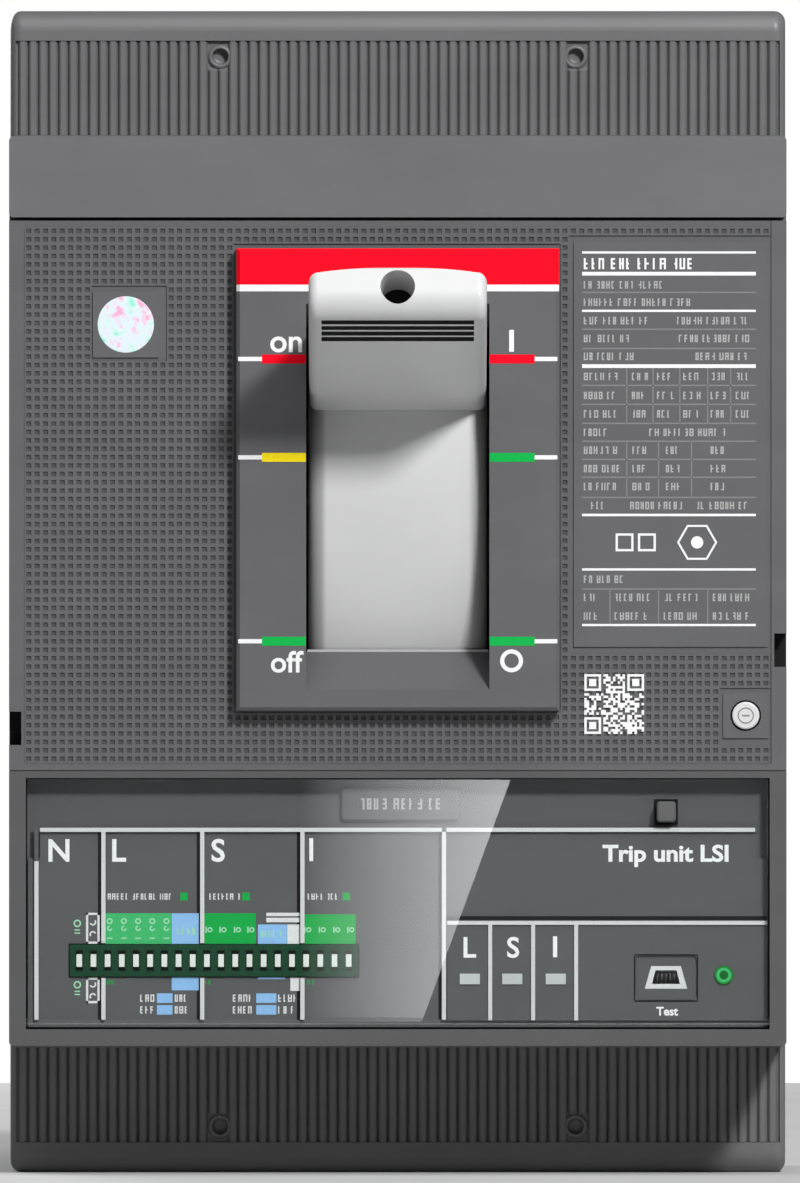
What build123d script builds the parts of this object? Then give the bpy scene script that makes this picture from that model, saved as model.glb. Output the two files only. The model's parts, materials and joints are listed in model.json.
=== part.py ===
from build123d import *
from math import atan2, cos, radians, sin, sqrt
import os

# Three-pole molded case circuit breaker with an electronic trip unit, in millimetres.
# The origin is the centre of the back mounting face. +X is to the right as you face
# the breaker, +Z is up, and the front looks along -Y. "Depth" is the distance in
# front of the back mounting face, so a point at depth d has y = -d.

os.makedirs("parts", exist_ok=True)

# ---------------------------------------------------------------- driving dimensions
# Case. The front block stands on the base between the two terminal covers.
case_width = 139.6
case_height = 205.0
base_depth = 58.0
case_corner = 2.0
block_corner = 0.8
block_inset = 0.2
block_depth = 37.0
terminal_zone = 21.0  # from each end of the case to the front block
panel_thickness = 4.4
band_height = 14.5  # smooth band along the top of the front block
band_gap = 0.6
skin_clearance = 0.15  # between panels that lie edge to edge
texture_depth = 0.35  # how far textured areas lie below the smooth ones

# Poles and terminals
pole_pitch = 46.5
bay_width = 36.0
bay_length = 22.5
bay_floor = 14.0
pedestal_width = 26.0
pedestal_set_back = 1.0
bar_back = 24.0
bar_width = 28.0
bar_thickness = 6.0
bar_length = 21.5
tap_radius = 4.25  # M10 tapping hole
tap_from_end = 11.0
tap_well_radius = 5.5
tap_well_depth = 8.0

# Mounting holes for M5 screws, in the walls between the poles
mount_from_end = 16.5
mount_hole_radius = 2.75
mount_head_radius = 4.75
mount_head_seat = 20.0  # depth on which the screw's head rests

# Terminal covers
cover_height = 10.0  # in front of the base
cover_overhang = 2.1
cover_wall = 2.0
cover_plate = 3.2
cover_gap = 0.15
cover_edge = 3.6
cover_strip = 5.4  # smooth strip beyond the ribbed area
cover_margin = 1.0  # smooth margin at each side of the ribbed area
cover_foot = 0.5
rib_depth = 0.9
entry_width = 31.0
entry_back = 22.0
entry_front = 47.0

# Terminal cover screws
cover_screw_x = 32.0
cover_screw_from_end = 8.3  # from the cover's outer end
cover_screw_hole = 1.75
cover_screw_head = 1.6
cover_screw_shank = 1.2
cover_screw_shoulder = 3.0  # cover under the screw's head
cover_screw_head_length = 2.6
cover_screw_grip = 11.0  # length of screw in the base
cover_boss_radius = 3.3
base_boss_length = 12.0
screw_recess = 0.5
screw_recess_depth = 1.0
screw_cross = 2.6

# Handle, about its pivot. The rest position is the upper, closed one.
pivot_set_back = 21.5  # behind the front of the base
pivot_height = 16.35
handle_tilt = 22.2
shield_recess = 5.0  # from the raised plate's front to the shield's crest
shield_thickness = 3.0
shield_width = 32.0
shield_edge = 2.6
shield_below = 50.5  # degrees of shield below the lever's centre line
shield_above = 49.6
grip_width = 31.7
grip_length = 46.5
grip_root = 5.0  # how far the lever is drawn inside the shield before it is trimmed
grip_underside = 7.6
grip_top = 5.5
grip_tip_drop = 8.4
grip_tip_top = 0.4
grip_edge = 1.6
grip_tip_edge = 0.8
grip_tip_radius = 4.5
grip_crown_radius = 93.0
grip_crown_drop = 5.0
grip_bore_radius = 3.085
grip_bore_depth = 9.0
grip_bore_drop = 3.3
groove_count = 4
groove_pitch = 2.6
groove_width = 1.8
groove_depth = 1.2
groove_length = 27.2
groove_from_tip = 4.8
arm_thickness = 2.4
arm_root = 6.0
arm_end = 9.0
arm_overlap = 0.5  # how far an arm runs into the shield
hub_radius = 7.0
pin_radius = 3.0
pin_clearance = 0.05

# Frame that carries the handle's pivot
bracket_gap = 1.0
bracket_thickness = 2.0
bracket_reach = 9.5  # in front of the pivot
bracket_half_height = 15.0
bracket_floor = 2.0
cavity_floor = 12.0
cavity_clearance = 0.4
cavity_half_height = 48.0
sweep_clearance = 1.2
sweep_margin = 2.0  # round the shield where it dips into the base

# Front panel, with smooth areas for labels, a round seal and the button
panel_border = 2.7
bottom_border = 1.2
label_width = 34.7
label_from_side = 3.4
label_from_top = 3.8
label_height = 72.5
pad_size = 11.8
pad_from_side = 20.9
pad_from_top = 18.6
notch_depth = 2.2
notch_height = 6.0
left_notch_rise = 7.5  # of the notch's middle above the panel's lower edge
right_notch_rise = 21.5

# Push-to-trip button
button_from_side = 7.3
button_rise = 9.8
button_radius = 2.45
button_clearance = 0.3
button_proud = 0.7
button_pad = 8.1
flange_radius = 3.5
flange_thickness = 1.5
button_well_radius = 4.2
button_well_depth = 7.0

# Raised plate round the handle, with a slot that slopes inwards at both ends
plate_thickness = 4.1
plate_width = 57.7
plate_below = 37.65  # below the handle's pivot
plate_above = 45.05
plate_edge = 0.6
slot_width = 32.8
slot_below = 33.95
slot_above = 35.15
ramp_run = 10.2
ramp_rise = 6.8  # of the lower slope
ramp_fall = 4.0  # of the upper slope
ramp_thickness = 1.5
window_margin = 1.6

# Trip unit and its surround
trip_unit_height = 49.2
surround_side = 3.0
surround_top = 1.25
surround_bottom = 2.95
trip_depth = 15.0
trip_proud = 0.2
trip_clearance = 0.2
face_from_top = 8.9  # from the recess's top to the raised lower face
face_thickness = 1.0
corner_notch_width = 2.1
corner_notch_height = 5.5
separator_width = 0.75
separator_height = 0.6
separator_offsets = (1.5, 13.5, 31.2, 49.15, 74.5)  # from the recess's left side
separator_rise = 1.6
status_height = 17.8
status_thickness = 0.7
status_line = 0.7
status_column_offsets = (8.3, 16.0, 23.7)  # from the last separator

rating_plug_from_left = 56.4
rating_plug_width = 21.3
rating_plug_from_top = 1.6
rating_plug_height = 6.1
rating_plug_thickness = 0.9
rating_plug_corner = 0.8

# Block of small coding switches
dip_count = 20
dip_pitch = 2.54
dip_from_left = 7.85
dip_height = 5.7
dip_from_top = 32.7  # from the recess's top to the levers' middle
dip_end_margin = 1.7
dip_set_in = 3.2
dip_proud = 1.5
dip_slot_width = 1.3
dip_slot_height = 3.65
dip_slot_depth = 2.5
dip_lever_width = 1.0
dip_lever_height = 2.25
dip_lever_proud = 0.2
dip_lever_gap = 0.1

# Lamps and test socket on the status panel
lamp_width = 3.6
lamp_height = 1.9
lamp_thickness = 0.3
lamp_offsets = (3.2, 10.8, 18.6)  # from the last separator
lamp_rise = 9.0  # above the recess's bottom
power_light_from_right = 8.2
power_light_rise = 9.7
power_light_radius = 1.7
socket_from_right = 18.55
socket_rise = 9.2
socket_width = 11.3
socket_height = 8.5
socket_corner = 1.5
socket_depth = 7.7
plug_face_width = 7.5
plug_face_narrow = 5.7
plug_face_height = 4.1
plug_face_length = 3.2
plug_cavity = 1.5
plug_wall = 0.8

# Clear cover over the trip unit, and its latch
latch_from_right = 18.5
latch_from_top = 6.05
latch_width = 3.4
latch_height = 3.7
latch_corner = 0.6
latch_set_back = 0.5
flap_set_back = 0.2
flap_thickness = 1.3
flap_side_gap = 0.4
flap_top_gap = 0.3
flap_window_gap = 0.8
hinge_barrel_radius = 0.85
hinge_rise = 1.4
hinge_pin_radius = 0.7
hinge_pin_length = 1.4
hinge_hole_extra = 0.3

# -------------------------------------------------------------- worked-out dimensions
# Depths
pivot_depth = base_depth - pivot_set_back
cover_front = base_depth + cover_height
cover_screw_seat = base_depth + cover_screw_shoulder
panel_back = base_depth + block_depth
panel_front = panel_back + panel_thickness
plate_front = panel_front + plate_thickness
ramp_depth = plate_front - ramp_run
shield_radius = plate_front - shield_recess - pivot_depth
grip_reach = shield_radius + grip_length
trip_back = panel_back - trip_depth
trip_front = panel_back + trip_proud
face_front = trip_front + face_thickness
status_front = face_front + status_thickness
socket_back = trip_front - socket_depth
dip_back = trip_front - dip_set_in
dip_front = trip_front + dip_proud
latch_front = panel_front - latch_set_back
flap_front = panel_front - flap_set_back
flap_back = flap_front - flap_thickness
hinge_depth = flap_front - hinge_barrel_radius
sweep_radius = shield_radius + sweep_clearance
sweep_limit = radians(handle_tilt + shield_above)  # of the shield's upper end with the handle closed
sweep_half_height = shield_radius * sin(sweep_limit) + sweep_margin
sweep_back = pivot_depth + (shield_radius - shield_thickness) * cos(sweep_limit) - sweep_margin

# Heights
end_z = case_height / 2
block_end = end_z - terminal_zone
cover_end = end_z + cover_overhang
cover_inner_z = block_end + cover_gap
cover_screw_z = cover_end - cover_screw_from_end
bay_inner = end_z - bay_length
tap_z = bay_inner + bar_length - tap_from_end
mount_z = end_z - mount_from_end
band_bottom = block_end - band_height
panel_top = band_bottom - band_gap
surround_low = -block_end + skin_clearance
surround_high = surround_low + trip_unit_height
panel_bottom = surround_high + skin_clearance
recess_top = surround_high - surround_top
recess_bottom = surround_low + surround_bottom
face_top = recess_top - face_from_top
separator_bottom = recess_bottom + separator_rise
status_top = separator_bottom + status_height
dip_z = recess_top - dip_from_top
lamp_z = recess_bottom + lamp_rise
power_light_z = recess_bottom + power_light_rise
socket_z = recess_bottom + socket_rise
latch_z = recess_top - latch_from_top
hinge_z = recess_bottom + hinge_rise
button_z = panel_bottom + button_rise
plate_bottom = pivot_height - plate_below
plate_top = pivot_height + plate_above
slot_bottom = pivot_height - slot_below
slot_top = pivot_height + slot_above
window_bottom = slot_bottom - window_margin
window_top = slot_top + window_margin

# Widths
half_case = case_width / 2
half_block = half_case - block_inset
pole_centres = (-pole_pitch, 0.0, pole_pitch)
bracket_inner = shield_width / 2 + bracket_gap
bracket_outer = bracket_inner + bracket_thickness
cavity_half_width = bracket_outer + cavity_clearance
sweep_half_width = bracket_inner + cavity_clearance
window_half_width = slot_width / 2 + bracket_gap
recess_half_width = half_block - surround_side
separator_lefts = [offset - recess_half_width for offset in separator_offsets]
status_left = separator_lefts[-1] + separator_width + trip_clearance
dip_left = dip_from_left - recess_half_width
dip_width = (dip_count - 1) * dip_pitch + 2 * dip_end_margin
power_light_x = recess_half_width - power_light_from_right
socket_x = recess_half_width - socket_from_right
latch_x = recess_half_width - latch_from_right
button_x = half_block - button_from_side
label_right = half_block - label_from_side
pad_x = pad_from_side - half_block
pad_z = panel_top - pad_from_top
ends = (("top", 1), ("bottom", -1))


# ------------------------------------------------------------------------- placement
def front(depth):
    """Plane facing the front at a depth: its x is right and its y is up."""
    return Plane(origin=(0, -depth, 0), x_dir=(1, 0, 0), z_dir=(0, -1, 0))


def side(x):
    """Plane across the breaker: its x is depth and its y is height."""
    return Plane(origin=(x, 0, 0), x_dir=(0, -1, 0), z_dir=(-1, 0, 0))


def lever_side(x):
    """Plane across the handle's pivot: its x runs out along the lever."""
    out = (0, -cos(radians(handle_tilt)), sin(radians(handle_tilt)))
    return Plane(origin=(x, -pivot_depth, pivot_height), x_dir=out, z_dir=(-1, 0, 0))


def area(left, right, low, high, mode=Mode.ADD):
    """Rectangle between two widths and two heights, in a sketch on a front plane."""
    with Locations(((left + right) / 2, (low + high) / 2)):
        Rectangle(right - left, high - low, mode=mode)


def block(left, right, back, face, low, high, mode=Mode.ADD):
    """Box from one depth to another, in the part being built."""
    with BuildSketch(front(back)) as outline:
        area(left, right, min(low, high), max(low, high))
    extrude(outline.sketch, amount=face - back, mode=mode)


def save(piece, name):
    """Label a finished piece and write its file."""
    piece.label = name
    export_step(piece, f"parts/{name}.step")


# ------------------------------------------------------------------------- case base
with BuildPart() as case_base:
    block(-half_case, half_case, 0, base_depth, -end_z, end_z)
    fillet(case_base.edges().filter_by(Axis.Y), case_corner)
    for _, sign in ends:
        for pole_x in pole_centres:
            left = pole_x - bay_width / 2
            block(
                left,
                left + bay_width,
                bay_floor,
                base_depth,
                sign * bay_inner,
                sign * end_z,
                Mode.SUBTRACT,
            )
            left = pole_x - pedestal_width / 2
            block(left, left + pedestal_width, bay_floor, bar_back, sign * bay_inner, sign * (end_z - pedestal_set_back))
        for x_sign in (-1, 1):
            inner = x_sign * (pole_pitch - bay_width / 2)
            outer = x_sign * (cover_screw_x + cover_boss_radius)
            low = sign * (cover_screw_z - cover_boss_radius)
            high = sign * (cover_screw_z + cover_boss_radius)
            block(
                min(inner, outer),
                max(inner, outer),
                base_depth - base_boss_length,
                base_depth,
                low,
                high,
            )
    with Locations(front(bar_back)):
        with GridLocations(pole_pitch, 2 * tap_z, 3, 2):
            Hole(tap_well_radius, depth=tap_well_depth)
    with Locations(front(base_depth)):
        with GridLocations(2 * cover_screw_x, 2 * cover_screw_z, 2, 2):
            Hole(cover_screw_shank, depth=cover_screw_grip)
        with GridLocations(pole_pitch, 2 * mount_z, 2, 2):
            CounterBoreHole(mount_hole_radius, mount_head_radius, base_depth - mount_head_seat)
    # room for the handle's pivot frame, and for the shield where it dips below the joint
    block(
        -cavity_half_width,
        cavity_half_width,
        cavity_floor,
        base_depth,
        pivot_height - cavity_half_height,
        pivot_height + cavity_half_height,
        Mode.SUBTRACT,
    )
    block(
        -sweep_half_width,
        sweep_half_width,
        sweep_back,
        base_depth,
        pivot_height - sweep_half_height,
        pivot_height + sweep_half_height,
        Mode.SUBTRACT,
    )
save(case_base.part, "case_base")

# ------------------------------------------------------------------------ case cover
with BuildPart() as case_cover:
    block(-half_block, half_block, base_depth, panel_back, -block_end, block_end)
    block(-half_block, half_block, panel_back, panel_front, band_bottom, block_end)
    fillet(case_cover.edges().filter_by(Axis.Y), block_corner)
    with BuildSketch(side(0)) as sweep:
        with Locations((pivot_depth, pivot_height)):
            Circle(sweep_radius)
    extrude(sweep.sketch, amount=sweep_half_width, both=True, mode=Mode.SUBTRACT)
    block(
        -window_half_width,
        window_half_width,
        ramp_depth - ramp_thickness - window_margin,
        panel_back,
        window_bottom,
        window_top,
        Mode.SUBTRACT,
    )
    block(
        -recess_half_width,
        recess_half_width,
        trip_back,
        panel_back,
        recess_bottom,
        recess_top,
        Mode.SUBTRACT,
    )
    with Locations(front(panel_back)):
        with Locations((button_x, button_z)):
            Hole(button_well_radius, depth=button_well_depth)
save(case_cover.part, "case_cover")

# ----------------------------------------------------------------------- front panel
with BuildPart() as front_panel:
    block(-half_block, half_block, panel_back, panel_front, panel_bottom, panel_top)
    block(
        -window_half_width,
        window_half_width,
        panel_back,
        panel_front,
        window_bottom,
        window_top,
        Mode.SUBTRACT,
    )
    with BuildSketch(front(panel_front)) as textured:
        area(-half_block + panel_border, half_block - panel_border, panel_bottom + bottom_border, panel_top)
        area(-plate_width / 2, plate_width / 2, plate_bottom, plate_top, Mode.SUBTRACT)
        label_top = panel_top - label_from_top
        area(label_right - label_width, label_right, label_top - label_height, label_top, Mode.SUBTRACT)
        with Locations((pad_x, pad_z)):
            Rectangle(pad_size, pad_size, mode=Mode.SUBTRACT)
        with Locations((button_x, button_z)):
            Rectangle(button_pad, button_pad, mode=Mode.SUBTRACT)
    extrude(textured.sketch, amount=-texture_depth, mode=Mode.SUBTRACT)
    with Locations(front(panel_front)):
        with Locations((button_x, button_z)):
            Hole(button_radius + button_clearance)
    for edge_x, notch_rise in ((-half_block, left_notch_rise), (half_block, right_notch_rise)):
        low = panel_bottom + notch_rise - notch_height / 2
        block(
            edge_x - notch_depth,
            edge_x + notch_depth,
            panel_back,
            panel_front,
            low,
            low + notch_height,
            Mode.SUBTRACT,
        )
save(front_panel.part, "front_panel")

# ---------------------------------------------------------------------- toggle plate
slope_length = sqrt(ramp_rise**2 + ramp_run**2)
back_shift = ramp_thickness * ramp_rise / slope_length
down_shift = ramp_thickness * ramp_run / slope_length
with BuildPart() as toggle_plate:
    block(-plate_width / 2, plate_width / 2, panel_front, plate_front, plate_bottom, plate_top)
    chamfer(toggle_plate.faces().sort_by(Axis.Y)[0].edges(), plate_edge)
    block(
        -slot_width / 2,
        slot_width / 2,
        panel_front,
        plate_front,
        slot_bottom,
        slot_top,
        Mode.SUBTRACT,
    )
    with BuildSketch(side(0)) as ramps:
        with BuildLine():
            Polyline(
                (plate_front, slot_bottom),
                (ramp_depth, slot_bottom + ramp_rise),
                (ramp_depth - back_shift, slot_bottom + ramp_rise - down_shift),
                (panel_front, slot_bottom + plate_thickness * ramp_rise / ramp_run - ramp_thickness),
                (panel_front, slot_bottom),
                close=True,
            )
        make_face()
        with BuildLine():
            Polyline(
                (plate_front, slot_top),
                (ramp_depth, slot_top - ramp_fall),
                (ramp_depth, slot_top - ramp_fall + ramp_thickness),
                (panel_front, slot_top),
                close=True,
            )
        make_face()
    extrude(ramps.sketch, amount=slot_width / 2, both=True)
save(toggle_plate.part, "toggle_plate")

# ------------------------------------------------------------------- terminal covers
for name, sign in ends:
    with BuildPart() as terminal_cover:
        block(-half_case, half_case, base_depth, cover_front, sign * cover_inner_z, sign * cover_end)
        block(-half_case, half_case, bay_floor, base_depth, sign * (end_z + cover_gap), sign * cover_end)
        outer_edges = terminal_cover.edges().filter_by(Axis.X).sort_by(Axis.Y)[0:2]
        fillet(outer_edges.sort_by(Axis.Z)[-1 if sign > 0 else 0], cover_edge)
        fillet(terminal_cover.edges().filter_by(Axis.Y).group_by(Axis.Z)[-1 if sign > 0 else 0], case_corner)
        block(
            -half_case + cover_wall,
            half_case - cover_wall,
            base_depth,
            cover_front - cover_plate,
            sign * (cover_inner_z + cover_wall),
            sign * (end_z + cover_gap),
            Mode.SUBTRACT,
        )
        block(
            -half_case + cover_margin,
            half_case - cover_margin,
            cover_front - rib_depth,
            cover_front,
            sign * (cover_inner_z + cover_foot),
            sign * (cover_end - cover_strip),
            Mode.SUBTRACT,
        )
        for pole_x in pole_centres:
            left = pole_x - entry_width / 2
            block(
                left,
                left + entry_width,
                entry_back,
                entry_front,
                sign * end_z,
                sign * cover_end,
                Mode.SUBTRACT,
            )
        for wall_x in (-pole_pitch / 2, pole_pitch / 2):
            block(
                wall_x - cover_wall / 2,
                wall_x + cover_wall / 2,
                base_depth,
                cover_front - cover_plate,
                sign * (cover_inner_z + cover_wall),
                sign * (end_z + cover_gap),
            )
        with BuildSketch(front(base_depth)) as bosses:
            with Locations((-cover_screw_x, sign * cover_screw_z), (cover_screw_x, sign * cover_screw_z)):
                Circle(cover_boss_radius)
        extrude(bosses.sketch, amount=cover_front - rib_depth - base_depth)
        with Locations(front(cover_front)):
            with Locations((-cover_screw_x, sign * cover_screw_z), (cover_screw_x, sign * cover_screw_z)):
                CounterBoreHole(cover_screw_shank, cover_screw_hole, cover_front - cover_screw_seat)
    save(terminal_cover.part, f"{name}_terminal_cover")

    with BuildPart() as cover_screws:
        screw_places = ((-cover_screw_x, sign * cover_screw_z), (cover_screw_x, sign * cover_screw_z))
        with BuildSketch(front(base_depth - cover_screw_grip)) as shanks:
            with Locations(*screw_places):
                Circle(cover_screw_shank)
        extrude(shanks.sketch, amount=cover_screw_grip + cover_screw_shoulder)
        with BuildSketch(front(cover_screw_seat)) as heads:
            with Locations(*screw_places):
                Circle(cover_screw_head)
        extrude(heads.sketch, amount=cover_screw_head_length)
        with BuildSketch(front(cover_screw_seat + cover_screw_head_length)) as crosses:
            with Locations(*screw_places):
                Rectangle(screw_cross, screw_recess)
                Rectangle(screw_recess, screw_cross)
        extrude(crosses.sketch, amount=-screw_recess_depth, mode=Mode.SUBTRACT)
    save(cover_screws.part, f"{name}_cover_screws")

# ------------------------------------------------------------------------- terminals
for name, sign in (("line", 1), ("load", -1)):
    with BuildPart() as terminals:
        for pole_x in pole_centres:
            left = pole_x - bar_width / 2
            block(
                left,
                left + bar_width,
                bar_back,
                bar_back + bar_thickness,
                sign * bay_inner,
                sign * (bay_inner + bar_length),
            )
        with Locations(front(bar_back + bar_thickness)):
            with Locations(*[(pole_x, sign * tap_z) for pole_x in pole_centres]):
                Hole(tap_radius, depth=bar_thickness)
    save(terminals.part, f"{name}_terminals")

# ------------------------------------------------------------------- mechanism frame
with BuildPart() as mechanism_frame:
    block(
        -bracket_outer,
        bracket_outer,
        cavity_floor,
        pivot_depth + bracket_reach,
        pivot_height - bracket_half_height,
        pivot_height + bracket_half_height,
    )
    block(
        -bracket_inner,
        bracket_inner,
        cavity_floor + bracket_floor,
        pivot_depth + bracket_reach,
        pivot_height - bracket_half_height,
        pivot_height + bracket_half_height,
        Mode.SUBTRACT,
    )
    with BuildSketch(side(0)) as pin_holes:
        with Locations((pivot_depth, pivot_height)):
            Circle(pin_radius)
    extrude(pin_holes.sketch, amount=bracket_outer, both=True, mode=Mode.SUBTRACT)
save(mechanism_frame.part, "mechanism_frame")

with BuildPart() as pivot_pin:
    with BuildSketch(side(0)):
        with Locations((pivot_depth, pivot_height)):
            Circle(pin_radius)
    extrude(amount=bracket_outer, both=True)
save(pivot_pin.part, "pivot_pin")

# ---------------------------------------------------------------------------- handle
with BuildPart() as handle_shield:
    with BuildSketch(lever_side(0)):
        with BuildLine():
            sweep_angle = shield_below + shield_above
            outer = CenterArc((0, 0), shield_radius, -shield_below, sweep_angle)
            inner = CenterArc((0, 0), shield_radius - shield_thickness, -shield_below, sweep_angle)
            Line(outer @ 0, inner @ 0)
            Line(outer @ 1, inner @ 1)
        make_face()
    extrude(amount=shield_width / 2, both=True)
    rims = handle_shield.edges().filter_by(GeomType.CIRCLE)
    fillet(rims.filter_by(lambda rim: rim.radius > shield_radius - shield_thickness / 2), shield_edge)
    arm_reach = shield_radius - shield_thickness + arm_overlap
    for arm_x in (-shield_width / 2, shield_width / 2 - arm_thickness):
        with BuildSketch(lever_side(arm_x + arm_thickness)) as arm:
            Circle(hub_radius)
            with BuildLine():
                Polyline(
                    (0, -arm_root),
                    (arm_reach, -arm_end),
                    (arm_reach, arm_end),
                    (0, arm_root),
                    close=True,
                )
            make_face()
            Circle(pin_radius + pin_clearance, mode=Mode.SUBTRACT)
        extrude(arm.sketch, amount=arm_thickness)
save(handle_shield.part, "handle_shield")

with BuildPart() as handle_grip:
    with BuildSketch(lever_side(0)) as profile:
        with BuildLine():
            Polyline(
                (shield_radius - grip_root, -grip_underside),
                (grip_reach, -grip_tip_drop),
                (grip_reach, grip_tip_top),
                (shield_radius - grip_root, grip_top),
                close=True,
            )
        make_face()
        fillet(profile.vertices().group_by(Axis.X)[-1].sort_by(Axis.Y)[0], grip_tip_radius)
        fillet(profile.vertices().group_by(Axis.X)[-1].sort_by(Axis.Y)[-1], grip_tip_edge)
    extrude(profile.sketch, amount=grip_width / 2, both=True)
    # the top is crowned from side to side, along its own slope
    slope = atan2(grip_top - grip_tip_top, grip_length + grip_root)
    tip_top = lever_side(0).from_local_coords((grip_reach, grip_tip_top, 0))
    further_in = lever_side(0).from_local_coords((grip_reach - cos(slope), grip_tip_top + sin(slope), 0))
    inwards = further_in - tip_top
    with BuildSketch(Plane(origin=tip_top, x_dir=(-1, 0, 0), z_dir=inwards)) as crown:
        Rectangle(2 * grip_width, 2 * grip_width)
        with Locations((0, -grip_crown_radius)):
            Circle(grip_crown_radius, mode=Mode.SUBTRACT)
        with Locations((0, -grip_width)):
            Rectangle(2 * grip_width, 2 * grip_width - 2 * grip_crown_drop, mode=Mode.SUBTRACT)
    extrude(crown.sketch, amount=grip_reach, both=True, mode=Mode.SUBTRACT)
    with BuildSketch(lever_side(0)) as core:
        Circle(shield_radius)
    extrude(core.sketch, amount=grip_width, both=True, mode=Mode.SUBTRACT)
    sides = handle_grip.faces().filter_by(Axis.X)
    fillet(sides.edges().filter_by(lambda edge: edge.center().Y < -pivot_depth - shield_radius), grip_edge)
    tip_plane = Plane(
        origin=lever_side(0).from_local_coords((grip_reach, -grip_bore_drop, 0)),
        x_dir=(1, 0, 0),
        z_dir=lever_side(0).x_dir,
    )
    with Locations(tip_plane):
        Hole(grip_bore_radius, depth=grip_bore_depth)
    with BuildSketch(lever_side(0)) as grooves:
        for number in range(groove_count):
            reach = grip_reach - groove_from_tip - number * groove_pitch
            with Locations((reach, -grip_tip_drop)):
                Rectangle(groove_width, 2 * groove_depth)
    extrude(grooves.sketch, amount=groove_length / 2, both=True, mode=Mode.SUBTRACT)
save(handle_grip.part, "handle_grip")

# ------------------------------------------------------------------------ push button
with BuildPart() as trip_button:
    flange_back = panel_back - button_clearance - flange_thickness
    with BuildSketch(front(flange_back)) as flange:
        with Locations((button_x, button_z)):
            Circle(flange_radius)
    extrude(flange.sketch, amount=flange_thickness)
    with BuildSketch(front(flange_back + flange_thickness)) as cap:
        with Locations((button_x, button_z)):
            Circle(button_radius)
    extrude(cap.sketch, amount=panel_front + button_proud - flange_back - flange_thickness)
    fillet(trip_button.edges().sort_by(Axis.Y)[0], button_proud / 2)
save(trip_button.part, "trip_button")

# -------------------------------------------------------------------- trip unit body
with BuildPart() as trip_unit_body:
    block(
        -recess_half_width + trip_clearance,
        recess_half_width - trip_clearance,
        trip_back,
        trip_front,
        recess_bottom + trip_clearance,
        recess_top - trip_clearance,
    )
    block(
        dip_left - trip_clearance,
        dip_left + dip_width + trip_clearance,
        dip_back,
        trip_front,
        dip_z - dip_height / 2 - trip_clearance,
        dip_z + dip_height / 2 + trip_clearance,
        Mode.SUBTRACT,
    )
    with BuildSketch(front(trip_front)) as socket_recess:
        with Locations((socket_x, socket_z)):
            RectangleRounded(socket_width, socket_height, socket_corner)
    extrude(socket_recess.sketch, amount=socket_back - trip_front, mode=Mode.SUBTRACT)
save(trip_unit_body.part, "trip_unit_body")

with BuildPart() as trip_unit_frame:
    block(-half_block, half_block, panel_back, panel_front, surround_low, surround_high)
    fillet(trip_unit_frame.edges().filter_by(Axis.Y).group_by(Axis.Z)[0], block_corner)
    block(
        -recess_half_width,
        recess_half_width,
        panel_back,
        panel_front,
        recess_bottom,
        recess_top,
        Mode.SUBTRACT,
    )
    with BuildSketch(side(0)) as hinge_holes:
        with Locations((hinge_depth, hinge_z)):
            Circle(hinge_pin_radius + pin_clearance)
    hole_reach = recess_half_width - flap_side_gap + hinge_pin_length + hinge_hole_extra
    extrude(hinge_holes.sketch, amount=hole_reach, both=True, mode=Mode.SUBTRACT)
save(trip_unit_frame.part, "trip_unit_frame")

# ------------------------------------------------------- trip unit face and its parts
with BuildPart() as trip_unit_face:
    face_half_width = recess_half_width - 2 * trip_clearance
    face_bottom = recess_bottom + 2 * trip_clearance
    block(-face_half_width, face_half_width, trip_front, face_front, face_bottom, face_top)
    for left in (-face_half_width, face_half_width - corner_notch_width):
        block(
            left,
            left + corner_notch_width,
            trip_front,
            face_front,
            face_top - corner_notch_height,
            face_top,
            Mode.SUBTRACT,
        )
    for left in separator_lefts:
        block(
            left,
            left + separator_width,
            face_front,
            face_front + separator_height,
            separator_bottom,
            face_top,
        )
    block(
        -face_half_width + corner_notch_width,
        face_half_width - corner_notch_width,
        face_front,
        face_front + separator_height,
        face_top - separator_width,
        face_top,
    )
    block(
        dip_left - trip_clearance,
        dip_left + dip_width + trip_clearance,
        trip_front,
        face_front + separator_height,
        dip_z - dip_height / 2 - trip_clearance,
        dip_z + dip_height / 2 + trip_clearance,
        Mode.SUBTRACT,
    )
    with BuildSketch(front(trip_front)) as socket_window:
        with Locations((socket_x, socket_z)):
            RectangleRounded(socket_width, socket_height, socket_corner)
    extrude(socket_window.sketch, amount=face_thickness, mode=Mode.SUBTRACT)
save(trip_unit_face.part, "trip_unit_face")

with BuildPart() as status_panel:
    block(status_left, face_half_width, face_front, status_front, separator_bottom, status_top)
    with BuildSketch(front(status_front)) as lines:
        area(status_left, face_half_width, status_top - status_line, status_top)
        for offset in status_column_offsets:
            left = separator_lefts[-1] + offset
            area(left, left + status_line, separator_bottom, status_top)
    extrude(lines.sketch, amount=lamp_thickness)
    with BuildSketch(front(face_front)) as socket_rim:
        with Locations((socket_x, socket_z)):
            RectangleRounded(socket_width, socket_height, socket_corner)
    extrude(socket_rim.sketch, amount=status_thickness, mode=Mode.SUBTRACT)
save(status_panel.part, "status_panel")

with BuildPart() as rating_plug:
    with BuildSketch(front(trip_front)):
        plug_x = rating_plug_from_left + rating_plug_width / 2 - recess_half_width
        plug_z = recess_top - rating_plug_from_top - rating_plug_height / 2
        with Locations((plug_x, plug_z)):
            RectangleRounded(rating_plug_width, rating_plug_height, rating_plug_corner)
    extrude(amount=rating_plug_thickness)
    chamfer(rating_plug.faces().sort_by(Axis.Y)[0].edges(), rating_plug_thickness / 3)
save(rating_plug.part, "rating_plug")

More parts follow.
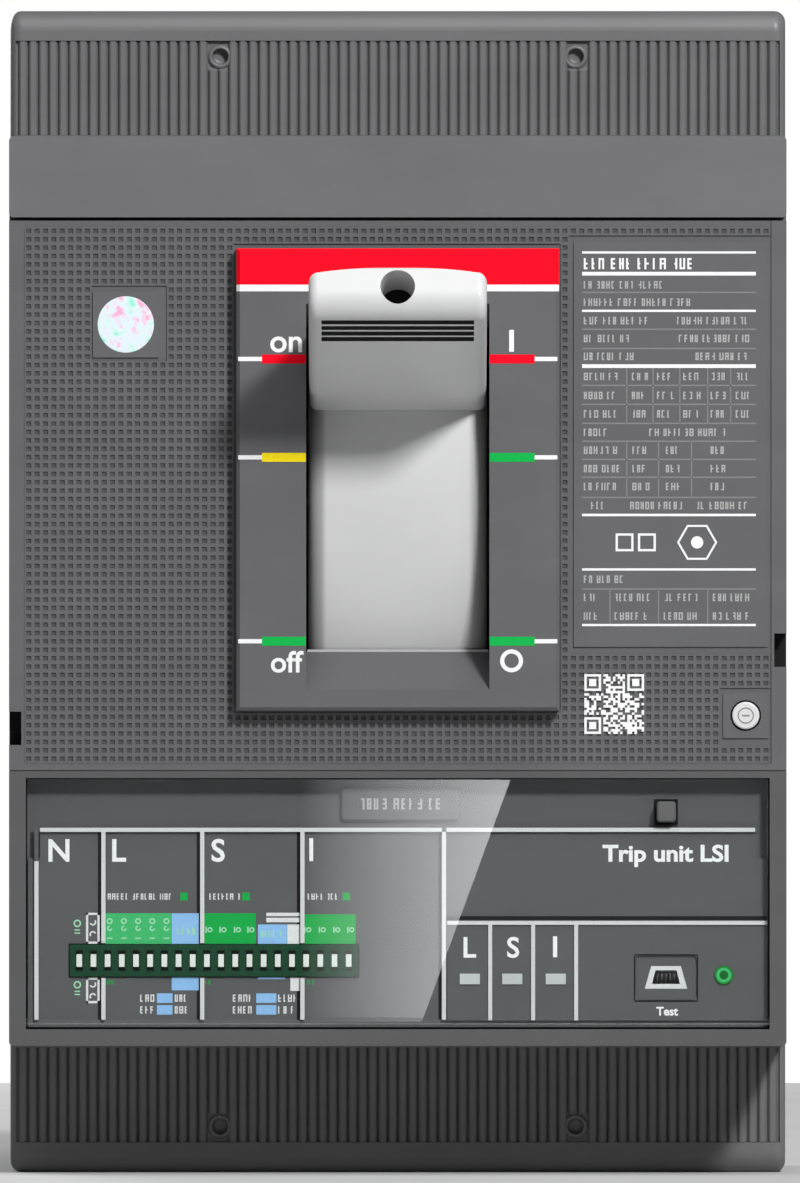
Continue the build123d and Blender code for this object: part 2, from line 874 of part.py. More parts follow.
with BuildPart() as indicator_lights:
    with BuildSketch(front(status_front)):
        with Locations(*[(separator_lefts[-1] + offset + lamp_width / 2, lamp_z) for offset in lamp_offsets]):
            Rectangle(lamp_width, lamp_height)
    extrude(amount=lamp_thickness)
save(indicator_lights.part, "indicator_lights")

with BuildPart() as power_light:
    with BuildSketch(front(status_front)):
        with Locations((power_light_x, power_light_z)):
            Circle(power_light_radius)
    extrude(amount=lamp_thickness)
save(power_light.part, "power_light")

with BuildPart() as test_socket:
    with BuildSketch(front(socket_back)):
        with Locations((socket_x, socket_z)):
            Polygon(
                (-plug_face_width / 2, -plug_face_height / 2),
                (plug_face_width / 2, -plug_face_height / 2),
                (plug_face_narrow / 2, plug_face_height / 2),
                (-plug_face_narrow / 2, plug_face_height / 2),
            )
    extrude(amount=plug_face_length)
    with BuildSketch(front(socket_back + plug_face_length)) as contacts:
        with Locations((socket_x, socket_z)):
            Rectangle(plug_face_narrow - 2 * plug_wall, plug_face_height - 2 * plug_wall)
    extrude(contacts.sketch, amount=-plug_cavity, mode=Mode.SUBTRACT)
save(test_socket.part, "test_socket")

# ------------------------------------------------------------- coding switches
first_lever_x = dip_left + dip_end_margin
lever_places = [(first_lever_x + number * dip_pitch, dip_z) for number in range(dip_count)]
with BuildPart() as dip_block:
    block(dip_left, dip_left + dip_width, dip_back, dip_front, dip_z - dip_height / 2, dip_z + dip_height / 2)
    with BuildSketch(front(dip_front)) as slots:
        with Locations(*lever_places):
            Rectangle(dip_slot_width, dip_slot_height)
    extrude(slots.sketch, amount=-dip_slot_depth, mode=Mode.SUBTRACT)
save(dip_block.part, "dip_block")

for number, place in enumerate(lever_places, start=1):
    with BuildPart() as slider_lever:
        with BuildSketch(front(dip_front - dip_slot_depth + dip_lever_gap)):
            with Locations(place):
                Rectangle(dip_lever_width, dip_lever_height)
        extrude(amount=dip_slot_depth - dip_lever_gap + dip_lever_proud)
    save(slider_lever.part, f"slider_lever_{number:02d}")

# ---------------------------------------------------------- clear cover and its latch
with BuildPart() as cover_latch:
    with BuildSketch(front(trip_front)):
        with Locations((latch_x, latch_z)):
            RectangleRounded(latch_width, latch_height, latch_corner)
    extrude(amount=latch_front - trip_front)
    chamfer(cover_latch.faces().sort_by(Axis.Y)[0].edges(), latch_corner / 2)
save(cover_latch.part, "cover_latch")

with BuildPart() as trip_unit_cover:
    flap_half_width = recess_half_width - flap_side_gap
    block(
        -flap_half_width,
        flap_half_width,
        flap_back,
        flap_back + flap_thickness,
        hinge_z,
        recess_top - flap_top_gap,
    )
    with BuildSketch(side(0)) as barrel:
        with Locations((hinge_depth, hinge_z)):
            Circle(hinge_barrel_radius)
    extrude(barrel.sketch, amount=flap_half_width, both=True)
    with BuildSketch(side(0)) as pins:
        with Locations((hinge_depth, hinge_z)):
            Circle(hinge_pin_radius)
    extrude(pins.sketch, amount=flap_half_width + hinge_pin_length, both=True)
    with BuildSketch(front(flap_back)) as latch_window:
        with Locations((latch_x, latch_z)):
            Rectangle(latch_width + 2 * flap_window_gap, latch_height + 2 * flap_window_gap)
    extrude(latch_window.sketch, amount=flap_thickness, mode=Mode.SUBTRACT)
save(trip_unit_cover.part, "trip_unit_cover")
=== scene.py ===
import json
import math
import random

import bmesh
import bpy
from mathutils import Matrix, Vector


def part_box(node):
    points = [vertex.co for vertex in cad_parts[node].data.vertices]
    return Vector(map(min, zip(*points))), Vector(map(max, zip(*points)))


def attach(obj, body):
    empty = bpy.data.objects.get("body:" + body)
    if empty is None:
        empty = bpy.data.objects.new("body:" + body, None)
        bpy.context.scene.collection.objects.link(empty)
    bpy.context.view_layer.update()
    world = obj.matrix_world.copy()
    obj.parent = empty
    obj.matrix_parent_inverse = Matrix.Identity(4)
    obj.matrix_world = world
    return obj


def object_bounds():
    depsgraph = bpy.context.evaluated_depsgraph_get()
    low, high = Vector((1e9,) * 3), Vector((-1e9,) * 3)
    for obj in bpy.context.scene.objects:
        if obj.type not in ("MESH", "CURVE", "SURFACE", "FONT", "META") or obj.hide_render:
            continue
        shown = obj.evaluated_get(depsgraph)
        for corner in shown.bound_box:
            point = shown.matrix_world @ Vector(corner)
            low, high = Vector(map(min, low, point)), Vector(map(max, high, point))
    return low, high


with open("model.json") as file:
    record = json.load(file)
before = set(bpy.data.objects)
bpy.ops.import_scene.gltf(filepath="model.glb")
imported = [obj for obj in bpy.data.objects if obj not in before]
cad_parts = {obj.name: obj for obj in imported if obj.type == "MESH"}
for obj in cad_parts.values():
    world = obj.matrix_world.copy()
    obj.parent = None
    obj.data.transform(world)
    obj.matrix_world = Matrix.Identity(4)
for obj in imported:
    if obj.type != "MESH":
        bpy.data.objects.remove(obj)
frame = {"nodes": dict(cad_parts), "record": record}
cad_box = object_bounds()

MM = 0.001
seeded = random.Random(20)


# ------------------------------------------------------------------ reading the frame
def face_of(node):
    """Depth of a node's front face, as y."""
    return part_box(node)[0].y


def corner(node, side_x, side_z):
    """A point of a node's front in mm: sides are -1 for low, 0 for middle and 1 for high."""
    low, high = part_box(node)
    x = low.x + (high.x - low.x) * (side_x + 1) / 2
    z = low.z + (high.z - low.z) * (side_z + 1) / 2
    return x / MM, z / MM


# -------------------------------------------------------------------------- materials
handle_look = {"rough": 0.42, "depth": 0.000004, "mottle": 0.02, "specular": 0.5}


def new_material(name):
    """A material with its node tree, its shader and the object's own coordinates."""
    material = bpy.data.materials.new(name)
    material.use_nodes = True
    tree = material.node_tree
    shader = tree.nodes["Principled BSDF"]
    place = tree.nodes.new("ShaderNodeTexCoord")
    return material, tree, shader, place.outputs["Object"]


def noise(tree, place, size, detail=3.0, rough=0.55, stretch=None):
    """Noise whose features are about size metres across, as a value from 0 to 1."""
    if stretch:
        mapping = tree.nodes.new("ShaderNodeMapping")
        mapping.inputs["Scale"].default_value = stretch
        tree.links.new(place, mapping.inputs["Vector"])
        place = mapping.outputs["Vector"]
    node = tree.nodes.new("ShaderNodeTexNoise")
    node.inputs["Scale"].default_value = 1 / size
    node.inputs["Detail"].default_value = detail
    node.inputs["Roughness"].default_value = rough
    tree.links.new(place, node.inputs["Vector"])
    return node.outputs["Fac"]


def ramp(tree, value, stops):
    """Colours along a value, from stops of (position, colour)."""
    node = tree.nodes.new("ShaderNodeValToRGB")
    while len(node.color_ramp.elements) < len(stops):
        node.color_ramp.elements.new(0.5)
    for element, (position, colour) in zip(node.color_ramp.elements, stops):
        element.position = position
        element.color = (*colour, 1)
    tree.links.new(value, node.inputs["Fac"])
    return node.outputs["Color"]


def spread(tree, value, low, high):
    """A value from about 0.3 to 0.7 spread between two others."""
    node = tree.nodes.new("ShaderNodeMapRange")
    node.inputs["From Min"].default_value = 0.3
    node.inputs["From Max"].default_value = 0.7
    node.inputs["To Min"].default_value = low
    node.inputs["To Max"].default_value = high
    tree.links.new(value, node.inputs["Value"])
    return node.outputs["Result"]


def tinted(colour, share):
    return tuple(min(1.0, part * share) for part in colour)


def moulded(name, colour, rough=0.5, grain=0.00035, depth=0.00001, mottle=0.05, specular=0.4):
    """Moulded plastic: fine grain, faint flow marks in its colour and a gloss that varies a little."""
    material, tree, shader, place = new_material(name)
    flow = noise(tree, place, 0.018, detail=4, stretch=(1, 1, 2.5))
    colours = ramp(tree, flow, ((0.3, tinted(colour, 1 - mottle)), (0.7, tinted(colour, 1 + mottle))))
    tree.links.new(colours, shader.inputs["Base Color"])
    fine = noise(tree, place, grain, detail=5, rough=0.65)
    bump = tree.nodes.new("ShaderNodeBump")
    bump.inputs["Strength"].default_value = 0.6
    bump.inputs["Distance"].default_value = depth
    tree.links.new(fine, bump.inputs["Height"])
    tree.links.new(bump.outputs["Normal"], shader.inputs["Normal"])
    tree.links.new(spread(tree, fine, rough - 0.06, rough + 0.06), shader.inputs["Roughness"])
    shader.inputs["Specular IOR Level"].default_value = specular
    return material


def edge_shaded(name, colour, start, fade, share):
    """The handle's plastic with painted shade: darker towards its left and right edges, from a distance off
    the middle.
    """
    material = moulded(name, colour, **handle_look)
    tree = material.node_tree
    shader = tree.nodes["Principled BSDF"]
    parts = tree.nodes.new("ShaderNodeSeparateXYZ")
    aside = tree.nodes.new("ShaderNodeMath")
    aside.operation = "ABSOLUTE"
    edge = tree.nodes.new("ShaderNodeMapRange")
    edge.inputs["From Min"].default_value = start - fade
    edge.inputs["From Max"].default_value = start + fade
    dark = tree.nodes.new("ShaderNodeMix")
    dark.data_type = "RGBA"
    dark.blend_type = "MULTIPLY"
    dark.inputs["B"].default_value = (share, share, share, 1)
    tree.links.new(tree.nodes["Texture Coordinate"].outputs["Object"], parts.inputs["Vector"])
    tree.links.new(parts.outputs["X"], aside.inputs[0])
    tree.links.new(aside.outputs["Value"], edge.inputs["Value"])
    tree.links.new(edge.outputs["Result"], dark.inputs["Factor"])
    tree.links.new(shader.inputs["Base Color"].links[0].from_socket, dark.inputs["A"])
    tree.links.new(dark.outputs["Result"], shader.inputs["Base Color"])
    return material


def ink(name, colour, rough=0.6, glow=0.0):
    """Printed ink: a thin layer with a faintly uneven cover."""
    material, tree, shader, place = new_material(name)
    cover = noise(tree, place, 0.0004, detail=4)
    colours = ramp(tree, cover, ((0.25, tinted(colour, 0.9)), (0.6, colour)))
    tree.links.new(colours, shader.inputs["Base Color"])
    tree.links.new(spread(tree, cover, rough, rough + 0.1), shader.inputs["Roughness"])
    shader.inputs["Specular IOR Level"].default_value = 0.1
    if glow:
        shader.inputs["Emission Color"].default_value = (*colour, 1)
        shader.inputs["Emission Strength"].default_value = glow
    return material


def plated(name, colour, rough, stretch):
    """Plated or drawn metal with fine lines along one direction."""
    material, tree, shader, place = new_material(name)
    lines = noise(tree, place, 0.0006, detail=6, stretch=stretch)
    colours = ramp(tree, lines, ((0.3, tinted(colour, 0.86)), (0.7, colour)))
    tree.links.new(colours, shader.inputs["Base Color"])
    tree.links.new(spread(tree, lines, rough - 0.08, rough + 0.1), shader.inputs["Roughness"])
    bump = tree.nodes.new("ShaderNodeBump")
    bump.inputs["Strength"].default_value = 0.4
    bump.inputs["Distance"].default_value = 0.00001
    tree.links.new(lines, bump.inputs["Height"])
    tree.links.new(bump.outputs["Normal"], shader.inputs["Normal"])
    shader.inputs["Metallic"].default_value = 1.0
    return material


def clear(name):
    """Clear plastic sheet: light goes straight through, and its skin reflects."""
    material, tree, shader, place = new_material(name)
    ripple = noise(tree, place, 0.02, detail=2)
    shader.inputs["Base Color"].default_value = (0.95, 0.97, 0.98, 1)
    tree.links.new(spread(tree, ripple, 0.001, 0.004), shader.inputs["Roughness"])
    shader.inputs["Metallic"].default_value = 1.0
    through = tree.nodes.new("ShaderNodeBsdfTransparent")
    through.inputs["Color"].default_value = (0.97, 0.98, 0.98, 1)
    facing = tree.nodes.new("ShaderNodeLayerWeight")
    facing.inputs["Blend"].default_value = 0.5
    steep = tree.nodes.new("ShaderNodeMath")
    steep.operation = "POWER"
    steep.inputs[1].default_value = 5.0
    skin = tree.nodes.new("ShaderNodeMath")
    skin.operation = "MULTIPLY_ADD"
    skin.inputs[1].default_value = 0.96
    skin.inputs[2].default_value = 0.04
    mix = tree.nodes.new("ShaderNodeMixShader")
    tree.links.new(facing.outputs["Facing"], steep.inputs[0])
    tree.links.new(steep.outputs["Value"], skin.inputs[0])
    tree.links.new(skin.outputs["Value"], mix.inputs["Fac"])
    tree.links.new(through.outputs["BSDF"], mix.inputs[1])
    tree.links.new(shader.outputs["BSDF"], mix.inputs[2])
    tree.links.new(mix.outputs["Shader"], tree.nodes["Material Output"].inputs["Surface"])
    return material


def foil(name):
    """Pale foil of the round seal, with pink and green patches that run into each other."""
    material, tree, shader, place = new_material(name)
    patches = noise(tree, place, 0.0024, detail=2.5)
    stops = (
        (0.36, (0.3, 0.8, 0.62)),
        (0.45, (0.66, 0.8, 0.8)),
        (0.55, (0.7, 0.76, 0.82)),
        (0.64, (0.9, 0.4, 0.58)),
    )
    tree.links.new(ramp(tree, patches, stops), shader.inputs["Base Color"])
    tree.links.new(spread(tree, patches, 0.25, 0.4), shader.inputs["Roughness"])
    shader.inputs["Specular IOR Level"].default_value = 0.5
    return material


HANDLE_WHITE = (0.6, 0.6, 0.605)
finishes = {
    "case_plastic": moulded("case_plastic", (0.125, 0.125, 0.13), rough=0.5),
    "panel_plastic": moulded("panel_plastic", (0.1, 0.1, 0.104), rough=0.5),
    "plate_plastic": moulded("plate_plastic", (0.108, 0.108, 0.113), rough=0.42, depth=0.000005),
    "cover_plastic": moulded("cover_plastic", (0.135, 0.135, 0.138), rough=0.42),
    "trip_plastic": moulded("trip_plastic", (0.1, 0.1, 0.102), rough=0.45, depth=0.000006),
    "handle_plastic": moulded("handle_plastic", HANDLE_WHITE, **handle_look),
    "button_grey": moulded("button_grey", (0.62, 0.62, 0.62), rough=0.35, depth=0.000004, mottle=0.03),
    "lamp": moulded("lamp", (0.58, 0.6, 0.6), rough=0.3, grain=0.0002, depth=0.000008, mottle=0.04),
    "green_lamp": ink("green_lamp", (0.01, 0.14, 0.02), rough=0.25, glow=0.05),
    "socket_grey": moulded("socket_grey", (0.75, 0.75, 0.76), rough=0.35, depth=0.000004),
    "dip_green": moulded("dip_green", (0.003, 0.052, 0.02), rough=0.45, depth=0.000004, specular=0.2),
    "lever_white": moulded("lever_white", (0.8, 0.85, 0.78), rough=0.35, depth=0.000004, mottle=0.03),
    "clear_plastic": clear("clear_plastic"),
    "steel": plated("steel", (0.5, 0.5, 0.51), 0.35, (1, 1, 6)),
    "black_steel": plated("black_steel", (0.16, 0.16, 0.165), 0.45, (1, 1, 3)),
    "tinned_copper": plated("tinned_copper", (0.66, 0.65, 0.62), 0.32, (6, 1, 1)),
}
white_ink = ink("white_ink", (0.82, 0.82, 0.82))
# grey for print and for a painted highlight
grey_ink = ink("grey_ink", (0.46, 0.46, 0.46))
dim_ink = ink("dim_ink", (0.22, 0.22, 0.22))
soft_ink = ink("soft_ink", (0.4, 0.4, 0.4))
# black used only for painted shade and painted shadows
black_ink = ink("black_ink", (0.012, 0.012, 0.012))
red_ink = ink("red_ink", (0.88, 0.0, 0.014))
yellow_ink = ink("yellow_ink", (0.86, 0.68, 0.01))
green_ink = ink("green_ink", (0.005, 0.42, 0.07))
pale_green_ink = ink("pale_green_ink", (0.06, 0.52, 0.17))
mint_ink = ink("mint_ink", (0.4, 0.78, 0.5))
line_ink = ink("line_ink", (0.72, 0.72, 0.72))
bright_ink = ink("bright_ink", (0.98, 0.98, 0.98))
shade_ink = ink("shade_ink", (0.035, 0.035, 0.036))
blue_ink = ink("blue_ink", (0.3, 0.56, 0.9))
glow_ink = ink("glow_ink", (0.01, 0.24, 0.03), glow=0.1)
seal_foil = foil("seal_foil")
# darker plastic for the pits' bottoms: painted shade
pit_shade = moulded("pit_shade", (0.055, 0.055, 0.057), rough=0.6)
# the shield's painted shade on its sides starts at this distance from the middle
SHIELD_FLAT = 13.2  # half the width of the shield's face, where its sides turn away
own_finishes = {
    # the shield's plastic gets painted shade towards its left and right sides
    "handle_shield": edge_shaded("shield_plastic", HANDLE_WHITE, SHIELD_FLAT * MM, 0.5 * MM, 0.6),
    "trip_unit_frame": moulded("frame_plastic", (0.078, 0.078, 0.08), rough=0.5),
}
for subpart in frame["record"]["subparts"]:
    node = subpart["node"]
    shown = frame["nodes"][node]
    shown.data.materials.clear()
    shown.data.materials.append(own_finishes.get(node, finishes[subpart["material_slot"]]))


# ------------------------------------------------------------------- building pieces
def finish_piece(name, mesh, body, material, smooth=False):
    """Turns a bmesh into an object that rides on a body."""
    bmesh.ops.recalc_face_normals(mesh, faces=mesh.faces)
    data = bpy.data.meshes.new(name)
    mesh.to_mesh(data)
    mesh.free()
    piece = bpy.data.objects.new(name, data)
    bpy.context.scene.collection.objects.link(piece)
    data.materials.append(material)
    for polygon in data.polygons:
        polygon.use_smooth = smooth
    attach(piece, body)
    return piece


def turns(steps):
    """Angles of points spread evenly round a circle."""
    return [math.tau * step / steps for step in range(steps)]


def loft(mesh, loops):
    """Bands of faces between closed loops of as many points each."""
    for one, two in zip(loops, loops[1:]):
        for here in range(len(one)):
            there = (here + 1) % len(one)
            mesh.faces.new((one[here], one[there], two[there], two[here]))


CAPITAL = 0.73  # height of a capital of the built-in letters, at size 1


class Marks:
    """Thin raised marks on a surface that faces the front. Sizes are in mm from an origin on it."""

    def __init__(self, node, side_x, side_z, face=None, lift=0.03):
        self.mesh = bmesh.new()
        self.origin = corner(node, side_x, side_z)
        self.face = (face_of(node) if face is None else face) - lift * MM
        self.back = self.face + (lift + 0.01) * MM

    def point(self, x, z, y):
        return self.mesh.verts.new(((self.origin[0] + x) * MM, y, (self.origin[1] + z) * MM))

    def prism(self, outline):
        """Closed prism over an outline of (x, z) points."""
        front = [self.point(x, z, self.face) for x, z in outline]
        back = [self.point(x, z, self.back) for x, z in outline]
        self.mesh.faces.new(front)
        self.mesh.faces.new(back[::-1])
        for here in range(len(outline)):
            there = (here + 1) % len(outline)
            self.mesh.faces.new((front[here], back[here], back[there], front[there]))

    def rect(self, left, right, low, high):
        self.prism(((left, low), (right, low), (right, high), (left, high)))

    def round(self, x, z, radius):
        self.prism([(x + radius * math.cos(turn), z + radius * math.sin(turn)) for turn in turns(48)])

    def arc(self, x, z, inner, outer, start=0.0, end=360.0, steps=48, flat=1.0):
        """Part of a ring, in degrees. flat squeezes it in height."""
        for step in range(steps):
            a = math.radians(start + (end - start) * step / steps)
            b = math.radians(start + (end - start) * (step + 1) / steps)
            points = ((inner, a), (outer, a), (outer, b), (inner, b))
            self.prism([(x + r * math.cos(turn), z + flat * r * math.sin(turn)) for r, turn in points])

    def sign(self, x, z, height):
        """A small figure of straight strokes that stands for a letter. Returns its width."""
        width = height * seeded.choice((0.42, 0.5, 0.55))
        stroke = height * 0.17
        left, right = seeded.random() < 0.8, seeded.random() < 0.55
        if left or not right:
            self.rect(x, x + stroke, z, z + height)
        if right:
            self.rect(x + width - stroke, x + width, z, z + height)
        for share in (0.0, 0.42, 0.83):
            if seeded.random() < 0.6:
                low = z + height * share
                self.rect(x + stroke, x + width - stroke, low, low + stroke)
        return width

    def words(self, left, right, z, height):
        """A row of such figures, in words, that fills a width. z is the middle of the row."""
        x = left
        letters = seeded.randint(2, 6)
        while x + height * 0.55 < right:
            x += self.sign(x, z - height / 2, height) + height * 0.2
            letters -= 1
            if not letters:
                x += height * 0.4
                letters = seeded.randint(3, 6)

    def text(self, words, x, z, height, bold=0.0, width=None):
        """Real letters, centred at x, standing on z, height being that of a capital."""
        curve = bpy.data.curves.new("letters", "FONT")
        curve.body = words
        curve.align_x = "CENTER"
        curve.offset = bold
        curve.resolution_u = 4
        holder = bpy.data.objects.new("letters", curve)
        letters = bpy.data.meshes.new_from_object(holder)
        broad = max(v.co.x for v in letters.vertices) - min(v.co.x for v in letters.vertices)
        up = height / CAPITAL
        across = up if width is None else width / broad
        flat = bmesh.new()
        flat.from_mesh(letters)
        made = {}
        for vertex in flat.verts:
            made[vertex] = self.point(x + vertex.co.x * across, z + vertex.co.y * up, self.face)
        for face in flat.faces:
            self.mesh.faces.new([made[v] for v in face.verts])
        flat.free()
        bpy.data.objects.remove(holder)
        bpy.data.curves.remove(curve)
        bpy.data.meshes.remove(letters)

    def make(self, name, body, material):
        return finish_piece(name, self.mesh, body, material)


# -------------------------------------------------- textured grid of the front panel
PITCH = 1.5
RELIEF = 0.3  # of the grid above its recess
RECESS = 0.35  # how far the textured area lies below the panel's front
LAND = 0.28  # width of a cell's flat rim
PIT_EDGE = 0.42  # where a cell's slopes reach the pit's bottom
PIT_LIFT = 0.04  # of the pits' bottoms, so that they don't coincide with the recess
SEAL_HALF = 6.0  # half of the smooth square round the seal
BUTTON_HALF = 4.15  # half of the smooth square round the trip button
NOTCH_WIDTH, NOTCH_HEIGHT = 2.2, 6.0

panel_low, panel_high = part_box("front_panel")
plate_low, plate_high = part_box("toggle_plate")
panel_right, panel_top = corner("front_panel", 1, 1)
panel_left, panel_bottom = corner("front_panel", -1, -1)
button_x, button_z = corner("trip_button", 0, 0)
seal_x, seal_z = panel_left + 20.9, panel_top - 18.6


def grown(low, high, edge):
    """A box seen from the front, in mm, larger by an edge all round."""
    return low.x / MM - edge, high.x / MM + edge, low.z / MM - edge, high.z / MM + edge


def square_about(x, z, half):
    return x - half, x + half, z - half, z + half


smooth_areas = (
    grown(plate_low, plate_high, 0.15),
    (panel_right - 38.2, panel_right - 3.3, panel_top - 76.4, panel_top - 3.7),  # the label
    square_about(seal_x, seal_z, SEAL_HALF),
    square_about(button_x, button_z, BUTTON_HALF),
)
left_edge, low_edge = panel_left + 2.75, panel_bottom + 1.25
columns = int((panel_right - 2.65 - left_edge) / PITCH)
rows_up = int((panel_top - low_edge) / PITCH)


def textured(column, row):
    """Whether a cell of the grid lies on the textured part of the panel."""
    if not (0 <= column < columns and 0 <= row < rows_up):
        return False
    x, z = left_edge + column * PITCH, low_edge + row * PITCH
    return all(
        x + PITCH < left or x > right or z + PITCH < low or z > high
        for left, right, low, high in smooth_areas
    )


def square_ring(mesh, column, row, inset, y):
    """Corners of a cell's square, smaller by an inset all round."""
    left, low = left_edge + column * PITCH + inset, low_edge + row * PITCH + inset
    right, high = left + PITCH - 2 * inset, low + PITCH - 2 * inset
    square = ((left, low), (right, low), (right, high), (left, high))
    return [mesh.verts.new((x * MM, y, z * MM)) for x, z in square]


def skirts(mesh, column, row, ring, y):
    """Walls down to the recess where a cell has no textured neighbour."""
    for here, (along, up) in enumerate(((0, -1), (1, 0), (0, 1), (-1, 0))):
        if not textured(column + along, row + up):
            there = (here + 1) % 4
            foot = [mesh.verts.new((ring[end].co.x, y, ring[end].co.z)) for end in (here, there)]
            mesh.faces.new((ring[there], ring[here], *foot))


grid, pits = bmesh.new(), bmesh.new()
low_y = panel_low.y + RECESS * MM
high_y = low_y - RELIEF * MM
pit_y = low_y - PIT_LIFT * MM
cell_rings = ((0, high_y), (LAND, high_y), (PIT_EDGE, pit_y))
for column in range(columns):
    for row in range(rows_up):
        if not textured(column, row):
            continue
        rings = [square_ring(grid, column, row, inset, y) for inset, y in cell_rings]
        loft(grid, rings)
        pits.faces.new(square_ring(pits, column, row, PIT_EDGE, pit_y))
        skirts(grid, column, row, rings[0], low_y)
finish_piece("panel_grid", grid, "case", finishes["panel_plastic"])
# the pits' bottoms are coloured darker: painted shade
finish_piece("panel_pits", pits, "case", pit_shade)

# painted shade: black sheets on the bottoms of the panel's side notches, upwards from its lower corners
for name, side, left, low in (("left", -1, 0, 4.5), ("right", 1, -NOTCH_WIDTH, 18.5)):
    notch = Marks("front_panel", side, -1, face=panel_high.y, lift=0.05)
    notch.rect(left, left + NOTCH_WIDTH, low, low + NOTCH_HEIGHT)
    notch.make(f"side_notch_shade_{name}", "case", black_ink)


# ------------------------------------------------------------ ribs of the end covers
RIB_PITCH = 1.8
RIB_DEPTH = 0.9
RIB_HALF = 0.88
RIB_FOOT, RIB_CROWN = 0.1, 0.76  # height of a rib's edges, and of its crown above them
RIB_POINTS = (-1, -0.84, -0.66, -0.45, 0.45, 0.66, 0.84, 1)
SCREW_RADIUS = 1.6
# radius and height of the moulded ring round a screw, and then of the hole inside it
COLLAR = (
    (2.3, 0.0), (2.0, 0.5), (1.65, 0.62), (1.45, 0.5),
    (1.38, -0.3), (1.3, -0.9), (0.7, -1.0), (0.02, -1.0),
)


def add_rib(mesh, x, y, foot, stop, up, squeeze):
    """A rounded rib from its foot to where it stops, flattened there to a share of its height."""
    section = [(RIB_HALF * part, RIB_FOOT + RIB_CROWN * (1 - abs(part) ** 2.6)) for part in RIB_POINTS]
    runs = []
    for z, share in ((foot + up * 0.05, 1), (stop - up * 0.5, 1), (stop, squeeze)):
        run = [(x + dx, y - height * share * MM, z) for dx, height in section]
        runs.append([mesh.verts.new((px * MM, py, pz * MM)) for px, py, pz in run])
    for one, two in zip(runs, runs[1:]):
        for here in range(len(section) - 1):
            mesh.faces.new((one[here], one[here + 1], two[here + 1], two[here]))
    mesh.faces.new(runs[0])
    mesh.faces.new(runs[-1])


def end_cover(cover, screws, up):
    """Ribs and screw collars of an end cover. up is 1 on the top cover and -1 on the bottom one."""
    low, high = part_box(cover)
    screw_low, screw_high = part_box(screws)
    screw_x = (screw_high.x - screw_low.x) / 2 / MM - SCREW_RADIUS
    screw_z = (screw_high.z + screw_low.z) / 2 / MM
    foot = (low.z if up > 0 else high.z) / MM + up * 0.5
    head = (high.z if up > 0 else low.z) / MM - up * 5.4
    floor_y = low.y + RIB_DEPTH * MM
    ribs = bmesh.new()
    count = int(((high.x - low.x) / MM - 2) / RIB_PITCH)
    first = -(count - 1) / 2 * RIB_PITCH
    for number in range(count):
        x = first + number * RIB_PITCH
        near_screw = abs(abs(x) - screw_x) < 2.2
        stop = screw_z - up * 2.0 if near_screw else head - up * 0.1
        add_rib(ribs, x, floor_y, foot, stop, up, 0.15 if near_screw else 1)
    finish_piece(f"{cover}_ribs", ribs, "case", finishes["cover_plastic"])
    collars = bmesh.new()
    for side in (-1, 1):
        centre = Vector((side * screw_x * MM, floor_y, screw_z * MM))
        loops = []
        for radius, height in COLLAR:
            rim = [Vector((radius * math.cos(turn), -height, radius * math.sin(turn))) for turn in turns(40)]
            loops.append([collars.verts.new(centre + point * MM) for point in rim])
        loft(collars, loops)
    finish_piece(f"{cover}_collars", collars, "case", finishes["cover_plastic"], smooth=True)


end_cover("top_terminal_cover", "top_cover_screws", 1)
end_cover("bottom_terminal_cover", "bottom_cover_screws", -1)


# ----------------------------------------------------- marks of the handle's plate
EDGE = 0.6  # chamfer round the plate's front
BAR_LEFT, BAR_RIGHT = -24.3, 24.5  # outer ends of the coloured bars
BAR_INNER = 16.45  # distance of their inner ends from the middle
BAR_HALF, LINE_HALF = 0.8, 0.38  # half heights of the bars and of the white lines beside them
LINE_END = 0.3  # from the lines' ends to the plate's sides
plate_half = (plate_high.x - plate_low.x) / 2 / MM


def wrapped(name, low, high, material, to_top):
    """A printed band across the plate's front that goes over its chamfers. Heights are from its top."""
    band = bmesh.new()
    face, lift = face_of("toggle_plate"), 0.03 * MM
    inner, outer = plate_half - EDGE, plate_half
    centre_x, top = corner("toggle_plate", 0, 1)
    front_top = high - (EDGE if to_top else 0)
    points = {
        "a": (-outer, low, EDGE), "b": (-inner, low, 0), "c": (inner, low, 0), "d": (outer, low, EDGE),
        "e": (-outer, high, EDGE), "f": (-inner, front_top, 0),
        "g": (inner, front_top, 0), "h": (outer, high, EDGE),
    }
    made = {}
    for key, (x, z, back) in points.items():
        place = ((centre_x + x) * MM, face - lift + back * MM, (top + z) * MM)
        made[key] = band.verts.new(place)
    for quad in ["abfe", "bcgf", "cdhg"] + (["efgh"] if to_top else []):
        band.faces.new([made[key] for key in quad])
    finish_piece(name, band, "case", material)


def position_bar(name, left, right, z, material):
    bar = Marks("toggle_plate", 0, 1)
    bar.rect(left, right, z - BAR_HALF, z + BAR_HALF)
    bar.make(f"bar_{name}", "case", material)


wrapped("plate_red_band", -6.5, 0.0, red_ink, True)
wrapped("plate_white_line", -7.7, -6.5, white_ink, False)

